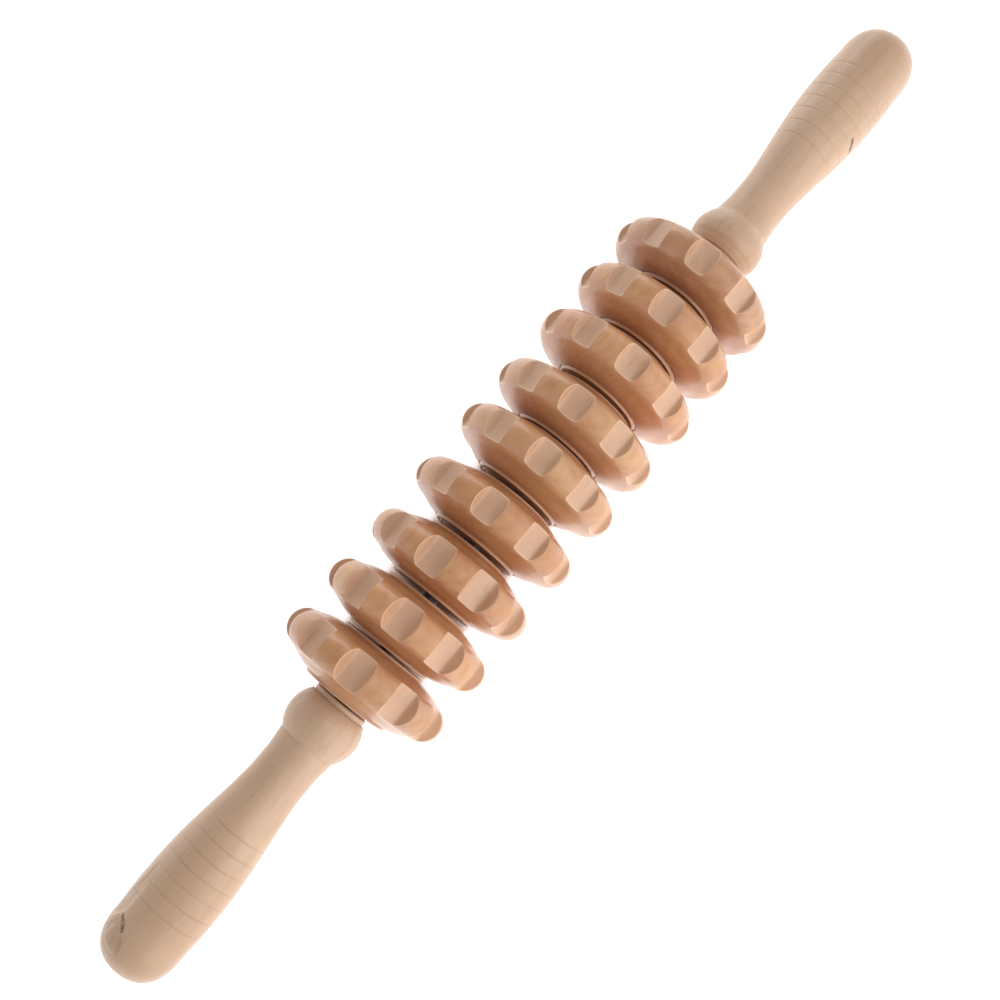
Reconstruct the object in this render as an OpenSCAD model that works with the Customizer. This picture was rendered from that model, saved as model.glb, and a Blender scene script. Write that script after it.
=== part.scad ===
// Wooden roller massager: nine notched wooden wheels spin freely on a steel axle that joins
// two turned wooden handles. X runs along the axle and Z is up. The origin is on the axle's
// axis, halfway between the two ends of the stick. Millimetres.

/* [Stick] */
// Whole length, from the end of one handle to the end of the other
stick_len = 397; // [380:1:420]
// Clear length between the two handles, which the wheels fill
wheel_room = 189; // [188:0.5:194]

/* [Axle] */
// Diameter of the steel axle
axle_d = 6; // [4:0.5:8]
// Depth to which the axle is pressed into each handle
axle_depth = 35; // [20:1:60]

/* [Wheels] */
// Diameter of a wheel over its teeth
wheel_d = 60; // [58:1:66]
// Width of a wheel across its two hub faces
hub_w = 19.8; // [18.5:0.1:20]
// Diameter of the raised boss on each side of a wheel
boss_d = 31; // [29:0.5:32]
// Radius of the rounded crown of a wheel's rim
crown_r = 6.3; // [5.8:0.1:6.6]
// Notches around the rim of a wheel
notch_count = 10; // [8:1:11]
// Width of a notch across its nearly flat floor
notch_w = 7.2; // [5:0.1:8]
// Depth of a notch below the crown, on most of the wheels
notch_depth = 2.8; // [2:0.1:3]
// How much deeper the notches of the first three wheels are cut
notch_extra = 1.3; // [0:0.1:1.4]
// Radial play of a wheel on the axle
wheel_play = 0.08; // [0.02:0.01:0.10]

/* [Handles] */
// Diameter of the collar that faces the wheels
collar_d = 19.4; // [18:0.2:21]
// Diameter of the bulb next to the collar
bulb_d = 25.6; // [24:0.2:28]
// Diameter of the waist
waist_d = 18.8; // [17:0.2:20]
// Diameter of the grip at its fullest
grip_d = 26.7; // [25:0.1:30]
// Fine grooves turned around the grip
ring_count = 7; // [3:1:7]
// Distance from one groove to the next
ring_pitch = 5.2; // [4:0.1:5.4]
// Depth of a groove
ring_depth = 0.45; // [0.2:0.05:0.6]

/* [Hidden] */
$fn = 96;

pale_wood = [0.80, 0.66, 0.49];
warm_wood = [0.72, 0.47, 0.29];
steel = [0.62, 0.63, 0.65];

// Wheels: how far each one is turned about the axle at rest, in degrees, and the share of the
// free length on the axle that lies before each wheel and after the last one
wheel_count = 9;
wheel_turn = [0, 2, 28, 34, 4, 34, 9, 3, 0];
deep_wheels = 3;
gap_share = [4, 4, 8, 8, 8, 3, 6, 4, 4, 4];
wheel_r = wheel_d / 2;
free_len = wheel_room - wheel_count * hub_w;
function total(list, count) = count == 0 ? 0 : list[count - 1] + total(list, count - 1);
function wheel_x(index) = -wheel_room / 2 + hub_w * (index + 0.5)
    + free_len * total(gap_share, index + 1) / total(gap_share, wheel_count + 1);

// Wheel outline: the crown is round, a hollow cove and a full shoulder lead down to the boss
boss_step = 0.9;
shoulder_w = hub_w / 2 - boss_step;
cove_w = crown_r + 0.35;
cove_r = wheel_r - 6.8;
crown_end = 80;
crown_steps = 16;
bore_r = axle_d / 2 + wheel_play;
bore_chamfer = 0.6;
boss_chamfer = 0.4;

// A notch runs straight through the rim: a flat floor, a bevel at each side of it, then a wall
bevel_w = 0.9;
bevel_h = 0.3;
wall_angle = 62;
cutter_h = 8;

// Handle outline, as distances from the face that meets the wheels
handle_len = (stick_len - wheel_room) / 2;
collar_len = 1.9;
// A bulb's fullest place, and its half length before and after that, on the left and right handle
bulb_at = [9.3, 8.6];
bulb_head = [12, 11.3];
bulb_tail = [12.5, 11.2];
waist_from = 24.5;
waist_len = 6;
grip_from = 75;
grip_to = 78;
butt_len = 14;
butt_d = 25.8;
butt_power = 2.5;
butt_from = handle_len - butt_len;
ring_first = 49.9;
ring_half_w = 0.42;
axle_chamfer = 0.6;

function swell(part) = (1 - cos(180 * part)) / 2;
function bulb_r(at, hand) = bulb_d / 2
    * sqrt(1 - pow((at - bulb_at[hand]) / (at < bulb_at[hand] ? bulb_head : bulb_tail)[hand], 2));
neck_d = waist_d + 1.3;
function neck_from(hand) = bulb_at[hand] + bulb_tail[hand] * sqrt(1 - pow(neck_d / bulb_d, 2));
function neck_r(at, hand) = waist_d / 2 + (neck_d - waist_d) / 2
    * (1 - swell((at - neck_from(hand)) / (waist_from - neck_from(hand))));
flare_from = waist_from + waist_len;
flare_ease = 0.8;
function flare_r(at) = waist_d / 2
    + (grip_d - waist_d) / 2 * swell(pow((at - flare_from) / (grip_from - flare_from), flare_ease));
function taper_r(at) = butt_d / 2
    + (grip_d - butt_d) / 2 * (1 - swell((at - grip_to) / (butt_from - grip_to)));
function butt_r(at) = butt_d / 2
    * pow(1 - pow((at - butt_from) / butt_len, butt_power), 1 / butt_power);
function body_r(at) = at <= flare_from ? waist_d / 2
    : at < grip_from ? flare_r(at)
    : at < grip_to ? grip_d / 2
    : taper_r(at);

// Evenly spaced places along the outline, both ends included
function places(from, to, count) = [for (i = [0 : count]) from + (to - from) * i / count];
function bulb_from(hand) = bulb_at[hand] - bulb_head[hand] * sqrt(1 - pow(collar_d / bulb_d, 2));

module handle_outline(hand) {
    bulb = [for (at = places(bulb_from(hand), neck_from(hand), 12)) [bulb_r(at, hand), at]];
    neck = [for (at = places(neck_from(hand) + 1, waist_from, 4)) [neck_r(at, hand), at]];
    body = [for (at = places(flare_from, butt_from, 26)) [body_r(at), at]];
    butt = [for (a = places(0, 90, 10)) let (at = butt_from + butt_len * sin(a)) [butt_r(at), at]];
    difference() {
        polygon(concat([[0, 0], [collar_d / 2, 0]], bulb, neck, body, butt));
        for (i = [0 : ring_count - 1]) {
            at = ring_first + i * ring_pitch;
            groove(body_r(at), at);
        }
        groove(collar_d / 2, collar_len);
    }
}

// A V-shaped groove, drawn at a place on the outline
module groove(r, at) {
    polygon([[r - ring_depth, at], [r + 1, at - 2.4 * ring_half_w], [r + 1, at + 2.4 * ring_half_w]]);
}

// Turns an outline drawn as [radius, distance] about the X axis, with distance along +X
module turned() {
    rotate([0, 90, 0]) rotate_extrude() children();
}

module axle() {
    half = wheel_room / 2 + axle_depth;
    r = axle_d / 2;
    color(steel) turned() polygon([
        [0, -half], [r - axle_chamfer, -half], [r, -half + axle_chamfer],
        [r, half - axle_chamfer], [r - axle_chamfer, half], [0, half]]);
}

module handle(hand) {
    color(pale_wood) difference() {
        translate([wheel_room / 2, 0, 0]) turned() handle_outline(hand);
        translate([wheel_room / 2 - 1, 0, 0]) rotate([0, 90, 0]) cylinder(d = axle_d, h = axle_depth + 1);
    }
}

module handle_left() {
    mirror([1, 0, 0]) handle(0);
}

module handle_right() {
    handle(1);
}

module wheel_outline() {
    half = hub_w / 2;
    side = [
        [boss_d / 2 - boss_chamfer, half],
        [boss_d / 2, half - boss_chamfer],
        [boss_d / 2, shoulder_w],
        [wheel_r - 12.7, shoulder_w - 0.15],
        [wheel_r - 10.4, shoulder_w - 0.7],
        [wheel_r - 8.8, shoulder_w - 1.35],
        [cove_r, cove_w]];
    crown = [for (a = places(crown_end, -crown_end, crown_steps))
        [wheel_r - crown_r + crown_r * cos(a), crown_r * sin(a)]];
    polygon(concat([[0, -half], [0, half]], side, crown,
        [for (i = [len(side) - 1 : -1 : 0]) [side[i][0], -side[i][1]]]));
}

// What is cut away for one notch at the top of a wheel
module notch_cutter(depth) {
    half = notch_w / 2;
    spread = (cutter_h - bevel_h) / tan(wall_angle);
    side = [[half - bevel_w, 0], [half, bevel_h], [half + spread, cutter_h]];
    translate([0, 0, wheel_r - depth]) rotate([90, 0, 90])
        linear_extrude(height = hub_w, center = true)
            polygon(concat(side, [for (i = [2 : -1 : 0]) [-side[i][0], side[i][1]]]));
}

module wheel(number) {
    color(warm_wood) translate([wheel_x(number - 1), 0, 0]) difference() {
        turned() wheel_outline();
        rotate([0, 90, 0]) cylinder(r = bore_r, h = hub_w + 2, center = true);
        for (side = [-1, 1]) translate([side * hub_w / 2, 0, 0]) rotate([0, side * -90, 0])
            cylinder(r1 = bore_r + bore_chamfer, r2 = bore_r, h = bore_chamfer);
        for (i = [0 : notch_count - 1])
            rotate([wheel_turn[number - 1] + i * 360 / notch_count, 0, 0])
                notch_cutter(notch_depth + (number > deep_wheels ? 0 : notch_extra));
    }
}

axle();
handle_left();
handle_right();
wheel(1);  // wheel_1
wheel(2);  // wheel_2
wheel(3);  // wheel_3
wheel(4);  // wheel_4
wheel(5);  // wheel_5
wheel(6);  // wheel_6
wheel(7);  // wheel_7
wheel(8);  // wheel_8
wheel(9);  // wheel_9
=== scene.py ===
"""Wooden roller massager: smooth turned meshes, wood and steel materials, studio and camera."""

import math

import bpy
import numpy as np
from mathutils import Matrix, Vector


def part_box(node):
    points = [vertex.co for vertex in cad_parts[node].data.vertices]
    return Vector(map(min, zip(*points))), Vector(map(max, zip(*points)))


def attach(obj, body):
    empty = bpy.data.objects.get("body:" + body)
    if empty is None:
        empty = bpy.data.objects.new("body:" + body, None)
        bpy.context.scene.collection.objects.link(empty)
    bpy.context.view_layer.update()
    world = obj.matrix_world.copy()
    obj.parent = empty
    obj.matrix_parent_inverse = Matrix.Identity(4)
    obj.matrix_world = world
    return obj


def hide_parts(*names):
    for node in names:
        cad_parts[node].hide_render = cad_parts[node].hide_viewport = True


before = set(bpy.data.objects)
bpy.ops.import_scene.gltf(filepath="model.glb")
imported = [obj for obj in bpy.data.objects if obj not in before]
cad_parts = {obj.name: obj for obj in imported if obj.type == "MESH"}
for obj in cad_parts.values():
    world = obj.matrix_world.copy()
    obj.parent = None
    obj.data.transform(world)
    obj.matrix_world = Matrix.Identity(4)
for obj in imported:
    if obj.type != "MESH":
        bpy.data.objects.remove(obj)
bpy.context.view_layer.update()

# ---------------------------------------------------------------- sizes, in millimetres
MM = 0.001

WHEELS = 9
WHEEL_R = 30.0
CROWN_R = 6.3
CROWN_END = 72  # degrees from the middle of the rim
BORE_R = 3.08
# The side of a wheel as (radius, side) points: the hollow flank, the step up to the boss, and the hub's
# face with its turned lines and its chamfered bore
FLANK = [(25.65, 5.99), (24.3, 6.36), (23.2, 6.7), (21.2, 7.52), (19.6, 8.12), (17.9, 8.58), (16.6, 8.84)]
FOOT = [
    (16.6, 8.84), (16.2, 8.86), (16.0, 8.74), (15.82, 8.86), (15.62, 9.12),
    (15.52, 9.4), (15.5, 9.62), (15.38, 9.82), (15.15, 9.9)]
FACE = [
    (15.15, 9.9), (14.3, 9.9), (14.05, 9.74), (13.8, 9.9), (12.9, 9.9), (12.7, 9.76), (12.5, 9.9),
    (9.0, 9.88), (6.0, 9.88), (4.0, 9.86), (3.6, 9.74), (3.12, 9.3), (BORE_R, 9.0),
    (BORE_R, 4.5), (BORE_R, 0.0)]
FLANK_ON_RIM = 7  # samples of the flank that the rim's columns follow, before the hub's wider ones
LINE_RADII = (16.0, 14.05, 12.7)
BOSS_RIM_R = 15.45

NOTCHES = 10
PITCH = math.radians(360 / NOTCHES)
FLOOR_HALF = 3.6
FLOOR_SAG = 0.22
BEVEL = 0.3
WALL_TAN = math.tan(math.radians(62))
WALL_CORNER = 0.9
EDGE_CORNER = 0.22

# Hand-made wheels differ a little: how far each is turned, in degrees, and how deep its notches are
TURN = [0, 2, 28, 34, 4, 34, 9, 3, 0]
DEPTH = [4.1, 4.1, 4.1, 2.8, 2.8, 2.8, 2.8, 2.8, 2.8]
# A rim is also a little out of true with its hub: its lean in degrees, and its shift along the axle
LEAN = [1.0, 1.0, 1.0, 0.9, -0.3, 0.0, -0.9, -0.6, -0.7]
SHIFT = [0.3, 0.0, -0.5, 0.0, 0.7, -0.2, 0.0, -0.3, -0.7]
# The colour of each wheel's wood beside the common one, as red, green and blue factors
TINT = [
    (0.95, 0.95, 0.94), (1.05, 1.03, 1.0), (0.91, 0.82, 0.74),
    (0.95, 0.87, 0.79), (1.02, 1.05, 1.05), (1.0, 1.0, 1.0),
    (1.03, 1.0, 1.0), (1.0, 0.97, 0.92), (0.85, 0.86, 0.92)]

# Handles: distances run from the face that meets the wheels, and side is -1 for the left one, 1 for the right
FACE_X = 94.5
HANDLE_LEN = 104.0
BULB_R, NECK_R, WAIST_R, GRIP_R, BUTT_R = 12.8, 10.05, 9.4, 13.35, 12.9
COLLAR_END = 1.9
# Each bulb's fullest place, and its half length before and after that
BULB = {-1: (9.3, 12.0, 12.5), 1: (8.6, 11.3, 11.2)}
WAIST_FROM, WAIST_TO = 24.5, 30.5
GRIP_FROM, GRIP_TO = 75, 78
BUTT_LEN = 14.0
BUTT_FROM = HANDLE_LEN - BUTT_LEN
BUTT_POWER = 2.5
RINGS = [49.9 + 5.2 * i for i in range(7)]
# How deep the fine rings are cut, and how dark they are made: dirt and painted shade in the groove
RING_CUT = {-1: (0.20, 0.55), 1: (0.13, 0.34)}
# The right bulb is turned down a little next to the collar, as far as this
COVE_TO = 5.9
COVE_DEPTH = 0.22
# How dark the line behind the left bulb is made: dirt and painted shade
NECK_LINE = 0.6

# ---------------------------------------------------------------- outlines and meshes


def spline(points, step):
    """A smooth line (centripetal Catmull-Rom) through the points, with one sample about every step."""
    p = np.array(points, float)
    p = np.vstack([2 * p[0] - p[1], p, 2 * p[-1] - p[-2]])
    out = []
    for i in range(1, len(p) - 2):
        p0, p1, p2, p3 = p[i - 1 : i + 3]
        t0 = 0.0
        t1 = t0 + np.linalg.norm(p1 - p0) ** 0.5
        t2 = t1 + np.linalg.norm(p2 - p1) ** 0.5
        t3 = t2 + np.linalg.norm(p3 - p2) ** 0.5
        count = max(1, int(math.ceil(np.linalg.norm(p2 - p1) / step)))
        for t in np.linspace(t1, t2, count, endpoint=False):
            a1 = (t1 - t) / (t1 - t0) * p0 + (t - t0) / (t1 - t0) * p1
            a2 = (t2 - t) / (t2 - t1) * p1 + (t - t1) / (t2 - t1) * p2
            a3 = (t3 - t) / (t3 - t2) * p2 + (t - t2) / (t3 - t2) * p3
            b1 = (t2 - t) / (t2 - t0) * a1 + (t - t0) / (t2 - t0) * a2
            b2 = (t3 - t) / (t3 - t1) * a2 + (t - t1) / (t3 - t1) * a3
            out.append((t2 - t) / (t2 - t1) * b1 + (t - t1) / (t2 - t1) * b2)
    out.append(p[-2])
    return np.array(out)


def smooth_min(a, b, corner):
    """The smaller of two values, with the corner between them rounded."""
    h = np.clip(0.5 + 0.5 * (b - a) / corner, 0, 1)
    return b + (a - b) * h - corner * h * (1 - h)


def swell(t):
    """A soft step from 0 to 1 as t goes from 0 to 1."""
    return (1 - math.cos(math.pi * t)) / 2


def bell(distance, width):
    """1 at no distance, falling softly to 0 over about twice the width."""
    return np.exp(-((distance / width) ** 2))


class Shell:
    """The points, faces and shading values of a mesh that is put together from grids."""

    def __init__(self, *keys):
        self.verts = []
        self.faces = []
        self.values = {key: [] for key in keys}
        self.count = 0

    def add(self, points, *values):
        """Adds a grid of points, with a value for each key, and returns the number of its first point."""
        first = self.count
        self.verts.append(points.reshape(-1, 3))
        for known, value in zip(self.values.values(), values):
            known.append(np.broadcast_to(value, points.shape[:-1]).reshape(-1))
        self.count += points.shape[0] * points.shape[1]
        return first

    def skin(self, first, rows, columns, flip):
        """Adds the faces of a grid whose rows are closed rings."""
        for i in range(rows - 1):
            for j in range(columns):
                a = first + i * columns + j
                b = first + i * columns + (j + 1) % columns
                face = (a, b, b + columns, a + columns)
                self.faces.append(face[::-1] if flip else face)

    def make(self, name, body, slot, material, centre):
        """Makes the object, in metres, which rides on a body and stands for the CAD node of the same name."""
        mesh = bpy.data.meshes.new(name + "_turned")
        mesh.from_pydata((np.concatenate(self.verts) * MM).tolist(), [], self.faces)
        mesh.update()
        for key, values in self.values.items():
            layer = mesh.attributes.new(key, "FLOAT", "POINT")
            layer.data.foreach_set("value", np.concatenate(values).astype(np.float32))
        mesh.polygons.foreach_set("use_smooth", [True] * len(mesh.polygons))
        mesh.materials.append(material)
        ob = bpy.data.objects.new(name + "_turned", mesh)
        bpy.context.scene.collection.objects.link(ob)
        ob.location = Vector(centre) * MM
        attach(ob, body)
        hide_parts(name)


# ---------------------------------------------------------------- wheels


def notch_curve(depth):
    """Half of a notch's section, as angles and radii from the notch's middle outwards."""
    u = np.linspace(0, 8.5, 400)
    base = WHEEL_R - depth
    floor = base + FLOOR_SAG * (u / FLOOR_HALF) ** 2.5
    wall = base + BEVEL + (u - FLOOR_HALF) * WALL_TAN
    height = -smooth_min(-wall, -floor, WALL_CORNER)
    return np.arctan2(u, height), np.hypot(u, height)


def crown_angle(r):
    """The angle on the round crown, in degrees from its middle, at which the wheel has this radius."""
    return math.degrees(math.acos((r - WHEEL_R + CROWN_R) / CROWN_R))


def wheel_rows(depth):
    """The outline of a rim and of a hub, as (radius, side), from the middle of the rim into the bore."""
    base = WHEEL_R - depth
    # rows lie close together where the notch's floor runs out of the crown
    fine_from = crown_angle(base + 0.62) - 1.0
    fine_to = crown_angle(base - 0.02) + 1.5
    outer_rows = max(2, int((CROWN_END - fine_to) / 3.5) + 1)
    angles = np.radians(np.concatenate([
        np.linspace(0, fine_from, 15, endpoint=False),
        np.linspace(fine_from, fine_to, 13, endpoint=False),
        np.linspace(fine_to, CROWN_END, outer_rows, endpoint=False)]))
    crown = np.stack([WHEEL_R - CROWN_R + CROWN_R * np.cos(angles), CROWN_R * np.sin(angles)], 1)
    flank = spline(FLANK, 0.6)
    rim = np.vstack([crown, flank[:FLANK_ON_RIM]])
    hub = np.vstack([flank[FLANK_ON_RIM:-1], spline(FOOT, 0.16)[:-1], spline(FACE, 0.9)])
    return rim, hub


def wheel_columns(rows, curve):
    """Angles of the columns over half a notch, row by row, so that a column follows the notch's edge."""
    angle, radius = curve
    deepest = radius[0]
    wall_radius = deepest + 0.42
    wall_from = angle[np.searchsorted(radius, wall_radius)]
    half = PITCH / 2
    out = []
    for r, _ in rows:
        edge = float(np.interp(max(r, wall_radius), radius, angle))
        edge = max(edge, wall_from + 0.012)
        mm = 1 / r
        top = edge - 0.22 * mm
        land = edge + 0.2 * mm
        marks = [wall_from * part for part in (0, 0.3, 0.6, 0.85, 1)]
        marks += [wall_from + (top - wall_from) * part for part in (0.3, 0.6, 0.85)]
        marks += [edge - 0.2 * mm, edge - 0.07 * mm, edge + 0.07 * mm, land]
        marks += [land + (half - land) * part for part in (0.12, 0.35, 0.68)]
        marks += [half]
        marks = np.maximum.accumulate(np.array(marks) + np.arange(len(marks)) * 1e-6)
        even = np.linspace(0, half, len(marks))
        ease = np.clip((deepest - 0.3 - r) / 3.0, 0, 1)
        ease = ease * ease * (3 - 2 * ease)
        out.append(marks * (1 - ease) + even * ease)
    return np.array(out)


def rim_grid(rim, curve):
    """Angles, radii, sides and the four shading values cut, edge, end and wall over one half of a rim."""
    half_columns = wheel_columns(rim, curve)
    columns = []
    for n in range(NOTCHES):
        columns.append(n * PITCH + half_columns[:, :-1])
        columns.append(n * PITCH + PITCH - half_columns[:, :0:-1])
    theta = np.concatenate(columns, 1)
    from_notch = (theta + PITCH / 2) % PITCH - PITCH / 2
    cut_r = np.interp(np.abs(from_notch), *curve)
    row_r = rim[:, :1]
    r = smooth_min(np.broadcast_to(row_r, theta.shape), cut_r, EDGE_CORNER)
    x = np.broadcast_to(rim[:, 1:2], theta.shape)
    gap = row_r - cut_r
    cut = np.clip(0.5 + gap / 0.25, 0, 1)
    edge = np.exp(-np.abs(gap) / 0.7)
    end = np.clip((x - 2.6) / 2.8, 0, 1) * (1 - cut)
    across = np.abs(np.tan(from_notch)) * cut_r * np.cos(from_notch)
    wall = cut * np.clip((across - FLOOR_HALF + 0.3) / 0.6, 0, 1)
    return theta, r, x, (cut, edge, end, wall)


def wheel_points(theta, r, x, turn, lean, shift):
    """Points of a wheel: the rim leans and is shifted along the axle, while the hub stays true."""
    angle = theta + math.radians(turn)
    y = -r * np.sin(angle)
    out = np.clip((r - 15.6) / 7.0, 0, 1) ** 2
    out = out * (3 - 2 * np.sqrt(out))
    drift = shift * out - math.tan(math.radians(lean)) * y * np.clip((r - 6) / 9, 0, 1)
    return np.stack([x + drift, y, r * np.cos(angle)], -1)


def wheel_shell(depth, turn, lean, shift):
    """One wheel about its own centre: the rim, and a hub on each side with a third of its columns."""
    curve = notch_curve(depth)
    rim, hub = wheel_rows(depth)
    theta, r, x, fields = rim_grid(rim, curve)
    shell = Shell("cut", "edge", "end", "wall", "line")

    # the rim's rows run from the left side to the right one, with the middle row once
    mirrored = list(range(len(rim) - 1, 0, -1))
    both = [np.vstack([field[mirrored], field]) for field in (theta, r, *fields)]
    x = np.vstack([-x[mirrored], x])
    first_rim = shell.add(wheel_points(both[0], both[1], x, turn, lean, shift), *both[2:], np.zeros_like(x))
    rows, count = x.shape
    shell.skin(first_rim, rows, count, False)

    # the hub's columns start in line with every third one of the rim and become evenly spaced
    third = count // 3
    even = np.clip(np.arange(len(hub)) / 4, 0, 1)[:, None]
    spaced = np.linspace(0, 2 * math.pi, third, endpoint=False)[None, :].repeat(len(hub), 0)
    in_line = theta[-1, ::3][None, :].repeat(len(hub), 0)
    angles = in_line * (1 - even) + (spaced + theta[-1, 0]) * even
    hub_r, hub_x = hub[:, :1], hub[:, 1:2]
    line = np.maximum.reduce([bell(hub_r - radius, 0.16) for radius in LINE_RADII]) * (hub_x > 8)
    # the boss's rim is paler: partly wear, partly a painted edge highlight
    worn_and_highlight = bell(hub_r - BOSS_RIM_R, 0.25) * (hub_x > 9.5) * 0.72
    first_hub = {}
    hub_rows = {-1: len(hub) - 1, 1: len(hub)}
    for side in (-1, 1):
        n = hub_rows[side]
        radii = np.broadcast_to(hub_r[:n], angles[:n].shape)
        points = wheel_points(angles[:n], radii, side * hub_x[:n], turn, lean, shift)
        first_hub[side] = shell.add(points, 0.0, worn_and_highlight[:n], 1.0, 0.0, line[:n])
    for side in (-1, 1):
        first = first_hub[side]
        rim_row = first_rim + (rows - 1 if side == 1 else 0) * count
        for j in range(third):
            outer = [rim_row + (3 * j + m) % count for m in range(4)]
            face = tuple(outer + [first + (j + 1) % third, first + j])
            shell.faces.append(face if side == 1 else face[::-1])
        shell.skin(first, hub_rows[side], third, side == -1)

    # the two hubs meet inside the bore
    last = {side: first_hub[side] + (hub_rows[side] - 1) * third for side in (-1, 1)}
    for j in range(third):
        k = (j + 1) % third
        shell.faces.append((last[1] + j, last[1] + k, last[-1] + k, last[-1] + j))
    return shell


# ---------------------------------------------------------------- handles


def handle_radius(s, side):
    """The radius of a handle at a distance from the wheels, without its fine grooves."""
    bulb_at, bulb_head, bulb_tail = BULB[side]
    neck_at = bulb_at + bulb_tail * math.sqrt(1 - (NECK_R / BULB_R) ** 2)
    bulb_half = bulb_head if s < bulb_at else bulb_tail
    bulb = BULB_R * math.sqrt(max(0, 1 - ((s - bulb_at) / bulb_half) ** 2))
    part = max(0, s - neck_at) / (WAIST_FROM - neck_at)
    neck = WAIST_R + (NECK_R - WAIST_R) * (1 - swell(part))
    if side == 1 and bulb_at < s < WAIST_FROM:
        return (bulb + neck + math.hypot(bulb - neck, 0.8)) / 2
    if s < neck_at:
        return bulb
    if s < WAIST_FROM:
        return neck
    if s < WAIST_TO:
        return WAIST_R
    if s < GRIP_FROM:
        return WAIST_R + (GRIP_R - WAIST_R) * swell(((s - WAIST_TO) / (GRIP_FROM - WAIST_TO)) ** 0.8)
    if s < GRIP_TO:
        return GRIP_R
    if s < BUTT_FROM:
        return BUTT_R + (GRIP_R - BUTT_R) * (1 - swell((s - GRIP_TO) / (BUTT_FROM - GRIP_TO)))
    return BUTT_R * (1 - ((s - BUTT_FROM) / BUTT_LEN) ** BUTT_POWER) ** (1 / BUTT_POWER)


def cove(s, side):
    """How far the right handle is turned down beside its collar, from 0 to 1."""
    if side == -1:
        return 0
    rise = max(0, (s - COLLAR_END) / 0.8)
    fall = swell(min(1, max(0, (COVE_TO - s) / 1.4)))
    return min(fall, rise, 1)


def handle_rows(side):
    """(distance, radius, groove, cove) along the handle, from the axle's hole to the butt."""
    bulb_at, bulb_head, bulb_tail = BULB[side]
    ring_depth, ring_dirt_and_shade = RING_CUT[side]
    neck_at = bulb_at + bulb_tail * math.sqrt(1 - (NECK_R / BULB_R) ** 2)

    # the hole for the axle, the face towards the wheels, and the collar up to its fine groove
    hole = [(34.0, 0.02), (34.0, 3.0), (0.5, 3.0), (0.05, 3.25), (0.0, 3.6)]
    face = [(0.0, 8.9), (0.06, 9.3), (0.2, 9.55), (0.45, 9.68)]
    collar = [(s, 9.7) for s in np.arange(0.7, 1.5, 0.2)]
    rows = [(s, r, 0, 0) for s, r in hole + face + collar]
    groove = [(1.55, 9.68), (1.68, 9.6), (1.8, 9.48), (1.92, 9.46), (2.04, 9.56)]
    rows += [(s, r, 0.7, 0) for s, r in groove]

    # the bulb, with closer rows over the cove, and the line where it meets the neck
    bulb_from = max(bulb_at - bulb_head * math.sqrt(1 - (9.75 / BULB_R) ** 2), 2.15)
    near = np.linspace(bulb_from, COVE_TO + 0.3, 18, endpoint=False)
    far = np.linspace(COVE_TO + 0.3, neck_at - 0.25, 16)
    for s in np.concatenate([near, far]):
        rows.append((s, handle_radius(s, side) - COVE_DEPTH * cove(s, side), 0, cove(s, side)))
    line = NECK_LINE if side == -1 else 0
    for s, part in ((neck_at, 1), (neck_at + 0.25, 0.5)):
        neck = handle_radius(s, side) if side == 1 else NECK_R
        rows.append((s, neck - 0.1 * part * line, line * part, 0))

    # the waist and the grip, with closer rows at the rings
    marks = np.arange(neck_at + 0.7, BUTT_FROM, 0.9)
    marks = [mark for mark in marks if all(abs(mark - ring) > 1.15 for ring in RINGS)]
    steps = (0.08, 0.2, 0.34, 0.48, 0.62, 0.85)
    for ring in RINGS:
        marks += [ring - step for step in steps] + [ring + step for step in steps]
    for s in sorted(marks):
        ring_here = max(math.exp(-((s - ring) / 0.3) ** 2) for ring in RINGS)
        rows.append((s, handle_radius(s, side) - ring_depth * ring_here, ring_dirt_and_shade * ring_here, 0))

    # the rounded butt
    for a in np.linspace(0, math.pi / 2, 26)[1:-1]:
        s = BUTT_FROM + BUTT_LEN * math.sin(a)
        rows.append((s, handle_radius(s, side), 0, 0))
    rows.append((HANDLE_LEN, 0.02, 0, 0))
    return rows


def handle_shell(side, segments=128):
    """One handle in its place on the axle."""
    rows = handle_rows(side)
    s, r, groove, cove_shade_mask = (np.array(values)[:, None] for values in zip(*rows))
    theta = np.linspace(0, 2 * math.pi, segments, endpoint=False)
    x = np.broadcast_to(side * (FACE_X + s), (len(rows), segments))
    end_grain = np.where((s < 0.1) & (r > 3.1), 1.0, 0.0)
    shell = Shell("groove", "end", "cove")
    shell.add(np.stack([x, -r * np.sin(theta), r * np.cos(theta)], -1), groove, end_grain, cove_shade_mask)
    shell.skin(0, len(rows), segments, side == 1)
    bottom = tuple(range(segments))
    tip = tuple((len(rows) - 1) * segments + j for j in range(segments))
    shell.faces += [bottom, tip[::-1]] if side == 1 else [bottom[::-1], tip]
    return shell


# ---------------------------------------------------------------- materials


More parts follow.
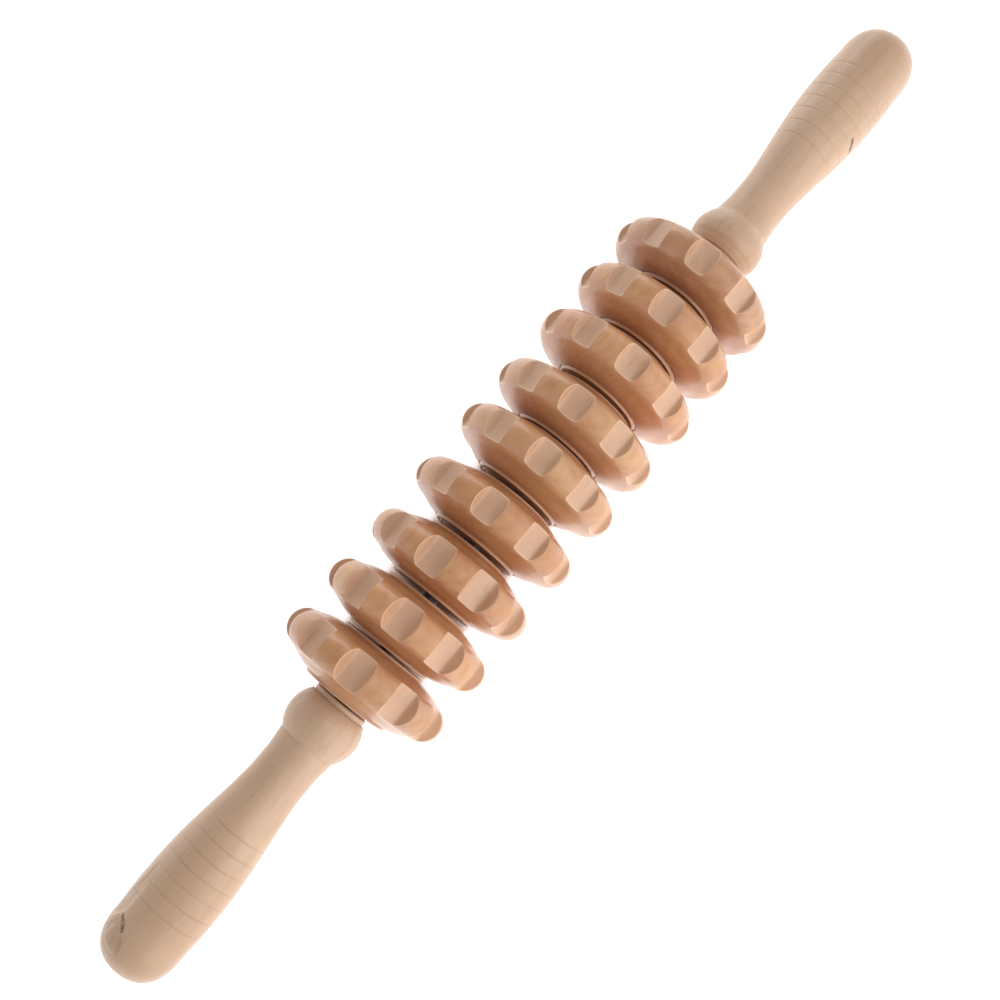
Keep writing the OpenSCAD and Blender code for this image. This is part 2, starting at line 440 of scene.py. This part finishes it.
class Nodes:
    """Short calls for building a material's node tree."""

    def __init__(self, name):
        self.material = bpy.data.materials.new(name)
        self.material.use_nodes = True
        self.tree = self.material.node_tree
        self.shader = self.tree.nodes["Principled BSDF"]

    def new(self, kind, **values):
        node = self.tree.nodes.new(kind)
        for key, value in values.items():
            setattr(node, key, value)
        return node

    def plug(self, socket, value):
        if isinstance(value, bpy.types.NodeSocket):
            self.tree.links.new(value, socket)
        elif isinstance(value, (tuple, list)) and socket.type == "RGBA" and len(value) == 3:
            socket.default_value = (*value, 1)
        else:
            socket.default_value = value

    def surface(self, **values):
        """Sets or links inputs of the shader, named with underscores for spaces."""
        for key, value in values.items():
            self.plug(self.shader.inputs[key.replace("_", " ")], value)

    def math(self, operation, a, b=0.0, clamp=False):
        node = self.new("ShaderNodeMath", operation=operation, use_clamp=clamp)
        self.plug(node.inputs[0], a)
        self.plug(node.inputs[1], b)
        return node.outputs[0]

    def times(self, a, b):
        return self.math("MULTIPLY", a, b)

    def vmath(self, operation, a, b=(0, 0, 0), scale=None):
        node = self.new("ShaderNodeVectorMath", operation=operation)
        self.plug(node.inputs[0], a)
        self.plug(node.inputs[1], b)
        if scale is not None:
            self.plug(node.inputs["Scale"], scale)
        return node.outputs["Value" if operation in ("LENGTH", "DISTANCE", "DOT_PRODUCT") else "Vector"]

    def stretch(self, vector, x, y=1.0, z=1.0):
        """The place with each axis scaled: less than 1 along X draws a pattern out along the axle."""
        return self.vmath("MULTIPLY", vector, (x, y, z))

    def mix(self, fac, a, b):
        node = self.new("ShaderNodeMix", data_type="RGBA", blend_type="MIX")
        self.plug(node.inputs["Factor"], fac)
        self.plug(node.inputs["A"], a)
        self.plug(node.inputs["B"], b)
        return node.outputs["Result"]

    def noise(self, vector, scale, detail=3.0, rough=0.55):
        node = self.new("ShaderNodeTexNoise")
        self.plug(node.inputs["Vector"], vector)
        for key, value in (("Scale", scale), ("Detail", detail), ("Roughness", rough)):
            node.inputs[key].default_value = value
        return node.outputs["Fac"]

    def ramp(self, fac, low, high, to_low=0.0, to_high=1.0):
        node = self.new("ShaderNodeMapRange", interpolation_type="SMOOTHSTEP")
        self.plug(node.inputs["Value"], fac)
        for key, value in (("From Min", low), ("From Max", high), ("To Min", to_low), ("To Max", to_high)):
            node.inputs[key].default_value = value
        return node.outputs["Result"]

    def strand(self, vector, points, taper):
        """The distance from a line through the points, larger by the taper at the line's two ends."""
        nearest = None
        for number, (a, b) in enumerate(zip(points, points[1:])):
            from_a = self.vmath("SUBTRACT", vector, tuple(a))
            along = self.vmath("DOT_PRODUCT", from_a, tuple((b - a) / (b - a).length_squared))
            along = self.math("ADD", along, 0.0, clamp=True)
            away = self.vmath("DISTANCE", from_a, self.vmath("SCALE", tuple(b - a), scale=along))
            ends = [self.math("SUBTRACT", 1.0, along)] if number == 0 else []
            ends += [along] if number == len(points) - 2 else []
            for end in ends if taper else []:
                away = self.math("ADD", away, self.times(self.math("POWER", end, 2.5), taper))
            nearest = away if nearest is None else self.math("MINIMUM", nearest, away)
        return nearest

    def attribute(self, name):
        return self.new("ShaderNodeAttribute", attribute_name=name).outputs["Fac"]

    def place(self):
        """The place on the object, in metres."""
        return self.new("ShaderNodeTexCoord").outputs["Object"]

    def axes(self, vector):
        node = self.new("ShaderNodeSeparateXYZ")
        self.plug(node.inputs[0], vector)
        return node.outputs

    def bump(self, height, strength, distance):
        node = self.new("ShaderNodeBump")
        self.plug(node.inputs["Height"], height)
        node.inputs["Strength"].default_value = strength
        node.inputs["Distance"].default_value = distance
        return node.outputs["Normal"]


def shaded(colour, tint):
    """A colour multiplied by a tint, channel by channel."""
    return tuple(c * t for c, t in zip(colour, tint))


def wheel_wood(name, tint, seed):
    """Warm varnished hardwood: dark end grain on the flanks; edges paler from wear and a painted highlight;
    notches paler as unvarnished wood and a painted highlight, with painted shade on their walls.
    """
    n = Nodes(name)
    where = n.place()
    grain = n.vmath("ADD", where, (0.013 * seed, 0.0371 * seed, -0.0219 * seed))
    # growth rings about a pith beside the axle
    pith = (0.0, 0.011 + 0.004 * math.sin(seed * 2.1), 0.016 * math.cos(seed * 1.3))
    wobble = n.noise(n.stretch(grain, 0.12), 45.0, 2.0)
    from_pith = n.vmath("LENGTH", n.stretch(n.vmath("ADD", where, pith), 0.05))
    rings = n.math("SINE", n.times(n.math("ADD", from_pith, n.times(wobble, 0.006)), 2600.0))
    rings = n.ramp(rings, -0.2, 1.0)
    fibres = n.noise(n.stretch(grain, 0.035), 2400.0, 3.0, 0.6)
    pores = n.ramp(n.noise(n.stretch(grain, 0.10), 1150.0, 2.0, 0.6), 0.63, 0.74)
    clouds = n.noise(grain, 60.0, 3.0, 0.5)
    broad = n.noise(grain, 24.0, 1.0, 0.5)
    patches = n.noise(n.stretch(grain, 0.6), 130.0, 2.0, 0.5)
    cut, edge, end, wall, line = (n.attribute(key) for key in ("cut", "edge", "end", "wall", "line"))

    warm = shaded((0.61, 0.30, 0.14), tint)
    light = shaded((0.70, 0.385, 0.195), tint)
    dark = shaded((0.46, 0.19, 0.092), tint)
    auburn, rosy, honey = (0.60, 0.24, 0.10), (0.66, 0.34, 0.21), (0.68, 0.39, 0.155)
    bare_and_highlight_pale, bare_and_highlight_deep = (0.72, 0.45, 0.30), (0.66, 0.395, 0.255)
    pore_brown, worn_and_highlight_pale, line_brown = (0.22, 0.09, 0.04), (0.83, 0.56, 0.37), (0.13, 0.05, 0.02)

    colour = n.mix(n.ramp(clouds, 0.35, 0.68), warm, light)
    colour = n.mix(n.times(rings, 0.22), colour, dark)
    colour = n.mix(n.times(n.ramp(fibres, 0.35, 0.75), 0.16), colour, dark)
    colour = n.mix(n.times(n.ramp(end, 0.0, 1.0), 0.40), colour, dark)
    colour = n.mix(n.times(n.ramp(broad, 0.45, 0.7), 0.20), colour, auburn)
    colour = n.mix(n.ramp(patches, 0.52, 0.72, 0.0, 0.40), colour, rosy)
    colour = n.mix(n.ramp(patches, 0.48, 0.28, 0.0, 0.35), colour, honey)
    # notch floors are paler: partly unvarnished cut wood, partly a painted highlight
    bare_and_highlight = n.math("SUBTRACT", n.times(cut, 0.85), n.times(wall, 0.15))
    colour = n.mix(bare_and_highlight, colour, n.mix(n.ramp(patches, 0.35, 0.65), bare_and_highlight_pale, bare_and_highlight_deep))
    # painted shade: the notch walls take less of the pale colour and are darkened
    colour = n.mix(n.times(wall, 0.14), colour, dark)
    colour = n.mix(n.times(pores, 0.22), colour, pore_brown)
    # edges are paler: partly wear, partly a painted edge highlight
    worn_and_highlight = n.times(n.ramp(edge, 0.45, 0.95), n.ramp(clouds, 0.25, 0.55, 0.55, 0.9))
    colour = n.mix(worn_and_highlight, colour, worn_and_highlight_pale)
    colour = n.mix(n.times(line, 0.6), colour, line_brown)

    rough = n.math("ADD", n.times(cut, 0.16), n.ramp(clouds, 0.3, 0.7, 0.33, 0.45))
    rough = n.math("ADD", rough, n.times(pores, 0.15))
    height = n.math("SUBTRACT", n.times(fibres, 0.3), n.times(pores, 0.6))
    height = n.times(height, n.math("SUBTRACT", 1.0, n.times(cut, 0.6)))
    n.surface(Base_Color=colour, Roughness=rough, Normal=n.bump(height, 0.35, 0.00012))
    n.surface(Coat_Weight=0.5, Coat_Roughness=0.16, Coat_IOR=1.45, Specular_IOR_Level=0.45)
    return n.material


# The figure in the wood round the knots. A place on a handle is its distance from the face that meets the
# wheels and the degrees round from the top, towards +Y. A knot has a place and a size, and a strand has a
# colour, a strength, half its width and the places that it runs through
BARK, SHADE, CREAM = (0.13, 0.055, 0.03), (0.36, 0.215, 0.12), (0.80, 0.63, 0.45)
KNOT = {-1: ((89.5, 32), 1.6), 1: ((61.5, -64), 0.9)}
FIGURE = {
    -1: [
        (SHADE, 0.32, 5.2, [(87.5, 58), (94.5, 43), (99.5, 24)]),
        (SHADE, 0.58, 1.0, [(93, 76), (89, 60), (84, 63), (76.5, 54), (69.5, 51)]),
        (CREAM, 0.55, 0.8, [(92.5, 70), (90, 57), (87, 43), (82, 41), (75.5, 41)]),
        (CREAM, 0.45, 0.6, [(90.5, 36), (94, 46), (96, 49), (97.5, 43), (98, 29), (98.5, 8)]),
        (SHADE, 0.35, 1.1, [(92, 22), (95, 14), (99, 10)]),
        (SHADE, 0.60, 0.7, [(89.5, 40), (94, 58), (96, 77)]),
        (SHADE, 0.80, 1.1, [(88.5, 41), (89.5, 31), (91.5, 24)]),
        (BARK, 0.80, 0.7, [(88.5, 40), (89, 35)]),
        (BARK, 0.70, 0.7, [(90.5, 27), (91.5, 24)])],
    1: [
        (CREAM, 0.40, 0.8, [(63, -57), (61.5, -79)]),
        (BARK, 0.92, 0.7, [(62.5, -57), (60.5, -75)])]}


def on_handle(side, place):
    """The point in metres at a place on a handle."""
    s, degrees = place
    r = handle_radius(s, side)
    turn = math.radians(degrees)
    return Vector((side * (FACE_X + s), r * math.sin(turn), r * math.cos(turn))) * MM


def handle_wood(name, side):
    """Pale birch under a thin satin varnish: long fine grain, a few flecks and a small knot."""
    n = Nodes(name)
    seed = 3 + side
    tint = [0.955 + 0.015 * side] * 3
    where = n.place()
    grain = n.vmath("ADD", where, (0.21 * seed, 0.013 * seed, -0.017 * seed))
    # the grain bends round the knot
    knot, knot_size = KNOT[side]
    from_knot = n.vmath("SUBTRACT", where, tuple(on_handle(side, knot)))
    halo = n.ramp(n.vmath("LENGTH", n.stretch(from_knot, 0.55)), 0.0, 5.0 * knot_size * MM, 1.0, 0.0)
    grain = n.vmath("ADD", grain, n.vmath("SCALE", from_knot, scale=n.times(halo, -0.75)))
    warp = n.noise(n.stretch(grain, 0.25), 26.0, 2.0)
    bent = n.vmath("ADD", grain, n.vmath("SCALE", (0.0, 1.0, 0.6), scale=n.times(warp, 0.006)))
    fibres = n.noise(n.stretch(bent, 0.035), 1900.0, 4.0, 0.6)
    streaks = n.noise(n.stretch(bent, 0.035), 420.0, 3.0, 0.55)
    bands = n.noise(n.stretch(bent, 0.06), 130.0, 2.0, 0.5)
    flecks = n.ramp(n.noise(n.stretch(grain, 0.09), 1300.0, 2.0, 0.6), 0.66, 0.76)
    clouds = n.noise(n.stretch(grain, 0.4), 34.0, 2.0)
    blush = n.noise(n.stretch(grain, 0.55), 75.0, 2.0, 0.5)
    groove, end, cove_shade_mask = (n.attribute(key) for key in ("groove", "end", "cove"))

    pale = shaded((0.70, 0.475, 0.325), tint)
    middle = shaded((0.60, 0.380, 0.240), tint)
    brown = shaded((0.42, 0.24, 0.13), tint)
    rosy, yellow, fleck_brown = (0.66, 0.42, 0.30), (0.70, 0.47, 0.28), (0.25, 0.13, 0.06)
    handled_brown, cove_shade_amber, dirt_and_shade = (0.50, 0.30, 0.18), (0.64, 0.37, 0.19), (0.34, 0.19, 0.10)

    colour = n.mix(n.ramp(clouds, 0.3, 0.7), pale, middle)
    colour = n.mix(n.ramp(blush, 0.50, 0.72, 0.0, 0.35), colour, rosy)
    colour = n.mix(n.ramp(blush, 0.48, 0.28, 0.0, 0.35), colour, yellow)
    colour = n.mix(n.times(n.ramp(bands, 0.42, 0.7), 0.40), colour, middle)
    colour = n.mix(n.times(n.ramp(streaks, 0.5, 0.78), 0.22), colour, brown)
    colour = n.mix(n.times(n.ramp(fibres, 0.4, 0.8), 0.15), colour, brown)
    colour = n.mix(n.times(flecks, 0.22), colour, fleck_brown)
    from_middle = n.math("ABSOLUTE", n.axes(where)["X"])
    colour = n.mix(n.ramp(from_middle, 0.150, 0.182, 0.0, 0.18), colour, handled_brown)
    colour = n.mix(n.times(end, 0.5), colour, brown)
    # painted shade: the cove beside the right collar, shaded by the wheel, is tinted a darker amber
    colour = n.mix(n.times(cove_shade_mask, 0.40), colour, cove_shade_amber)
    # the grooves are darkened: partly dirt, partly painted shade in the recess
    dirt_and_shade_fill = n.ramp(n.noise(n.stretch(where, 2.5), 70.0, 1.0), 0.35, 0.6, 0.15, 0.48)
    colour = n.mix(n.times(groove, dirt_and_shade_fill), colour, dirt_and_shade)
    # the knot's strands, with slightly ragged edges
    ragged = n.times(n.math("SUBTRACT", n.noise(where, 650.0, 3.0), 0.5), 0.0030)
    ragged = n.vmath("ADD", where, n.vmath("SCALE", (0.5, 1.0, 1.0), scale=ragged))
    for tone, weight, half_width, places in FIGURE[side]:
        half = half_width * MM
        taper = 0 if tone == BARK else 1.25 * half
        away = n.strand(ragged, [on_handle(side, place) for place in places], taper)
        colour = n.mix(n.ramp(away, 0.45 * half, 1.3 * half, weight, 0.0), colour, tone)

    rough = n.math("ADD", n.ramp(streaks, 0.3, 0.75, 0.36, 0.50), n.times(flecks, 0.12))
    height = n.math("SUBTRACT", n.times(fibres, 0.4), flecks)
    n.surface(Base_Color=colour, Roughness=rough, Normal=n.bump(height, 0.3, 0.0001))
    n.surface(Coat_Weight=0.25, Coat_Roughness=0.22, Specular_IOR_Level=0.45)
    return n.material


def axle_steel():
    """A dull drawn steel rod with faint blotches, coloured very dark as painted shade for the narrow gaps
    between the wheels.
    """
    n = Nodes("axle_steel")
    where = n.place()
    drawn = n.noise(n.stretch(where, 0.02), 3000.0, 3.0)
    blotch = n.noise(where, 180.0, 3.0)
    # painted shade: the steel is far darker than bare steel, so the gaps between the wheels read dark
    colour = n.mix(n.ramp(blotch, 0.4, 0.7), (0.15, 0.15, 0.155), (0.08, 0.075, 0.07))
    rough = n.ramp(drawn, 0.2, 0.8, 0.36, 0.55)
    n.surface(Base_Color=colour, Roughness=rough, Normal=n.bump(drawn, 0.25, 0.00005), Metallic=1.0)
    return n.material


def floor_plain():
    """Pale and evenly bright, with a soft shadow where the wheels touch it."""
    n = Nodes("floor_plain")
    axes = n.axes(n.place())
    across = n.math("ABSOLUTE", n.math("SUBTRACT", axes["Y"], 0.0033))
    along = n.math("ABSOLUTE", n.math("SUBTRACT", axes["X"], 0.006))
    past_ends = n.ramp(along, 0.080, 0.092)
    glow = n.math("MAXIMUM", n.ramp(across, 0.0140, 0.0200), past_ends)
    shade = n.math("MAXIMUM", n.ramp(across, 0.007, 0.0185), past_ends)
    n.surface(Base_Color=n.mix(shade, (0.27, 0.235, 0.22), (0.93, 0.93, 0.93)))
    n.surface(Emission_Color=(1, 1, 1, 1), Emission_Strength=n.times(glow, 0.8))
    n.surface(Roughness=0.9, Specular_IOR_Level=0.1)
    return n.material


# ---------------------------------------------------------------- build
rng = np.random.default_rng(12)
for number in range(1, WHEELS + 1):
    node = "wheel_%d" % number
    depth, turn, lean, shift, tint = (values[number - 1] for values in (DEPTH, TURN, LEAN, SHIFT, TINT))
    low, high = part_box(node)
    centre = ((low.x + high.x) / 2 / MM, 0, 0)
    tint = [float(part) for part in np.array(tint) * (1 + rng.uniform(-0.02, 0.02))]
    wood = wheel_wood("wheel_wood_%d" % number, tint, number)
    wheel_shell(depth, turn, lean, shift).make(node, node, "wheel_wood", wood, centre)

for side, node in ((-1, "handle_left"), (1, "handle_right")):
    wood = handle_wood("handle_wood_" + node, side)
    handle_shell(side).make(node, "stick", "handle_wood", wood, (0, 0, 0))

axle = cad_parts["axle"]
axle.data.materials.clear()
axle.data.materials.append(axle_steel())
for polygon in axle.data.polygons:
    polygon.use_smooth = True

# ---------------------------------------------------------------- studio
FLOOR_HALF_SIZE, FLOOR_Z = 20, -0.0301
floor_mesh = bpy.data.meshes.new("floor")
signs = ((-1, -1), (1, -1), (1, 1), (-1, 1))
corners = [(x * FLOOR_HALF_SIZE, y * FLOOR_HALF_SIZE, FLOOR_Z) for x, y in signs]
floor_mesh.from_pydata(corners, [], [(0, 1, 2, 3)])
floor_mesh.materials.append(floor_plain())
floor = bpy.data.objects.new("floor", floor_mesh)
bpy.context.scene.collection.objects.link(floor)

# a white sky that is brighter near the horizon
world = bpy.data.worlds.new("studio")
bpy.context.scene.world = world
world.use_nodes = True
sky = world.node_tree
background = sky.nodes["Background"]
direction = sky.nodes.new("ShaderNodeTexCoord")
height = sky.nodes.new("ShaderNodeSeparateXYZ")
fade = sky.nodes.new("ShaderNodeMapRange")
fade.interpolation_type = "SMOOTHSTEP"
for key, value in (("From Min", 0.0), ("From Max", 0.75), ("To Min", 0.86), ("To Max", 0.36)):
    fade.inputs[key].default_value = value
sky.links.new(direction.outputs["Generated"], height.inputs[0])
sky.links.new(height.outputs["Z"], fade.inputs["Value"])
sky.links.new(fade.outputs["Result"], background.inputs["Strength"])
background.inputs["Color"].default_value = (1, 1, 1, 1)


def softbox(name, place, target, size, power):
    """A rectangular lamp at a place, turned towards a target."""
    light = bpy.data.lights.new(name, "AREA")
    light.shape = "RECTANGLE"
    light.size, light.size_y = size
    light.energy = power
    ob = bpy.data.objects.new(name, light)
    bpy.context.scene.collection.objects.link(ob)
    ob.location = place
    ob.rotation_euler = (Vector(target) - Vector(place)).to_track_quat("-Z", "Y").to_euler()


softbox("softbox_front", (-0.10, -0.85, 0.45), (0, 0, 0), (1.4, 0.7), 4.3)
softbox("softbox_back", (0.52, 0.48, 0.12), (0.10, 0, 0), (0.5, 0.25), 0.7)
softbox("softbox_high", (0.25, -0.50, 0.95), (0, 0, 0), (1.2, 0.8), 3.0)

# ---------------------------------------------------------------- camera
AZIMUTH, ELEVATION = math.radians(-50.44), math.radians(79.62)
level = math.cos(ELEVATION)
forward = Vector((-math.sin(AZIMUTH) * level, math.cos(AZIMUTH) * level, -math.sin(ELEVATION)))
right = Vector((math.cos(AZIMUTH), math.sin(AZIMUTH), 0))
up = right.cross(forward)
camera = bpy.data.objects.new("camera", bpy.data.cameras.new("camera"))
bpy.context.scene.collection.objects.link(camera)
stance = Matrix((right, up, -forward)).transposed().to_4x4()
stance.translation = Vector((-0.0683, -0.0427, 0.3911))
camera.matrix_world = stance
camera.data.sensor_width = 36
camera.data.lens = 44.1
camera.data.clip_start = 0.01
bpy.context.scene.camera = camera
bpy.context.scene.view_settings.view_transform = "Standard"
